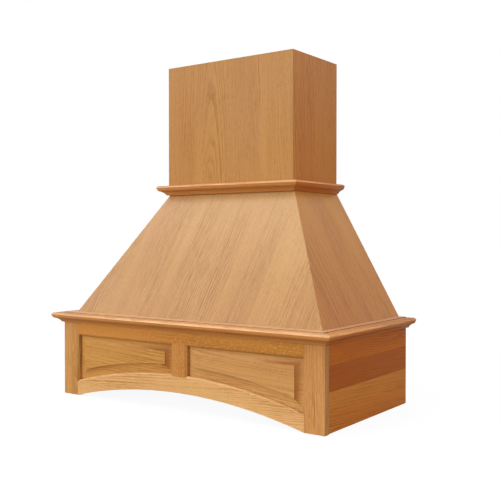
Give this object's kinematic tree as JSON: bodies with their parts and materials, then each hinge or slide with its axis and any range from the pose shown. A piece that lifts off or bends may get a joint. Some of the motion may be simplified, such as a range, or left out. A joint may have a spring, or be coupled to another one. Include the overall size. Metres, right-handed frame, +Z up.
{
  "type": "wooden range hood cover",
  "caption": "Oak canopy for a kitchen range hood: framed apron with raised panels over an arched rail, sloping skins and a square chimney, hung on a wall over a liner.",
  "frame": {"origin": "centre of the footprint of the bounding box, level with the bottom edge of the apron", "axes": "X along the wall, +Y into the wall, +Z up; the room is towards -Y"},
  "size_m": [0.9716, 0.4922, 0.9938],
  "materials": {
    "frame_oak": "clear satin lacquer on red oak",
    "panel_oak": "clear satin lacquer on red oak",
    "board_oak": "clear satin lacquer on edge-glued red oak",
    "shelf_oak": "clear satin lacquer on red oak",
    "moulding_oak": "clear satin lacquer on red oak",
    "slope_oak": "clear satin lacquer on red oak veneer",
    "chimney_oak": "clear satin lacquer on red oak veneer",
    "rail_wood": "bare planed poplar",
    "cleat_wood": "bare planed pine",
    "block_wood": "bare planed pine",
    "plate_plywood": "bare birch plywood",
    "screw_steel": "zinc plated",
    "brad_steel": "bright steel"
  },
  "bodies": {
    "root": {"back_liner_cleat": "cleat_wood", "bottom_rail": "frame_oak", "centre_stile": "frame_oak", "chimney_front": "chimney_oak", "collar_plate": "plate_plywood", "collar_screws": "screw_steel", "corner_block_screws": "screw_steel", "foot_cleat_screws": "screw_steel", "front_collar_cleat": "cleat_wood", "front_foot_cleat": "cleat_wood", "front_liner_cleat": "cleat_wood", "front_shelf": "shelf_oak", "front_slope": "slope_oak", "left_chimney_post": "block_wood", "left_chimney_side": "chimney_oak", "left_collar_cleat": "cleat_wood", "left_foot_cleat": "cleat_wood", "left_front_corner_block": "block_wood", "left_hip_block": "block_wood", "left_liner_cleat": "cleat_wood", "left_lower_moulding": "moulding_oak", "left_raised_panel": "panel_oak", "left_rear_corner_block": "block_wood", "left_shelf": "shelf_oak", "left_side_board_1": "board_oak", "left_side_board_2": "board_oak", "left_side_board_3": "board_oak", "left_side_board_4": "board_oak", "left_slope": "slope_oak", "left_stile": "frame_oak", "left_upper_moulding": "moulding_oak", "left_upper_rail_block": "block_wood", "liner_cleat_screws": "screw_steel", "lower_front_moulding": "moulding_oak", "lower_wall_rail": "rail_wood", "middle_wall_rail": "rail_wood", "moulding_brads": "brad_steel", "right_chimney_post": "block_wood", "right_chimney_side": "chimney_oak", "right_collar_cleat": "cleat_wood", "right_foot_cleat": "cleat_wood", "right_front_corner_block": "block_wood", "right_hip_block": "block_wood", "right_liner_cleat": "cleat_wood", "right_lower_moulding": "moulding_oak", "right_raised_panel": "panel_oak", "right_rear_corner_block": "block_wood", "right_shelf": "shelf_oak", "right_side_board_1": "board_oak", "right_side_board_2": "board_oak", "right_side_board_3": "board_oak", "right_side_board_4": "board_oak", "right_slope": "slope_oak", "right_stile": "frame_oak", "right_upper_moulding": "moulding_oak", "right_upper_rail_block": "block_wood", "top_rail": "frame_oak", "upper_front_moulding": "moulding_oak", "upper_wall_rail": "rail_wood"}
  },
  "joints": []
}
